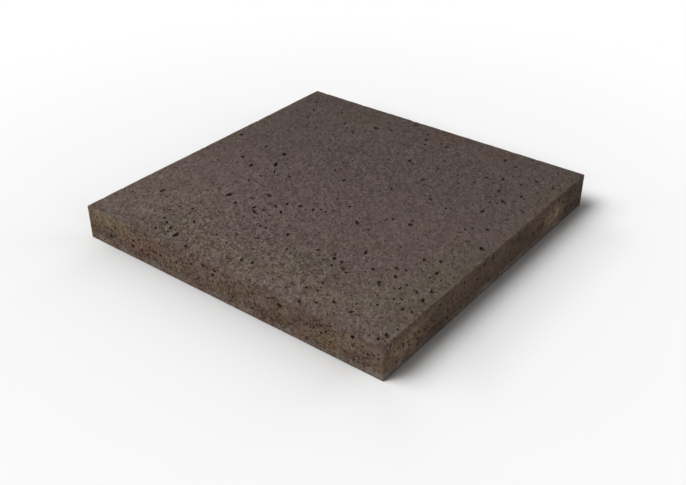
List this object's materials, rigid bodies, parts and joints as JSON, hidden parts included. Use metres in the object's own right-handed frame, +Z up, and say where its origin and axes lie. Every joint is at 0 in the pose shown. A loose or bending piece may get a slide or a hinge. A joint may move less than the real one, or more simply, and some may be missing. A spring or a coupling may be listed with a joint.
{
  "type": "concrete paving slab",
  "caption": "Square cast concrete paving slab with crisp edges and open air pores in its walking face and sides, laid flat on a bed to make paths and terraces.",
  "frame": {"origin": "centre of the underside, the face that lies on the bed", "axes": "+Z up out of the walking face, +X along the front side to the right, +Y from the front side to the back"},
  "size_m": [0.5, 0.5, 0.05],
  "materials": {
    "concrete": "matte"
  },
  "bodies": {
    "root": {"slab": "concrete"}
  },
  "joints": []
}
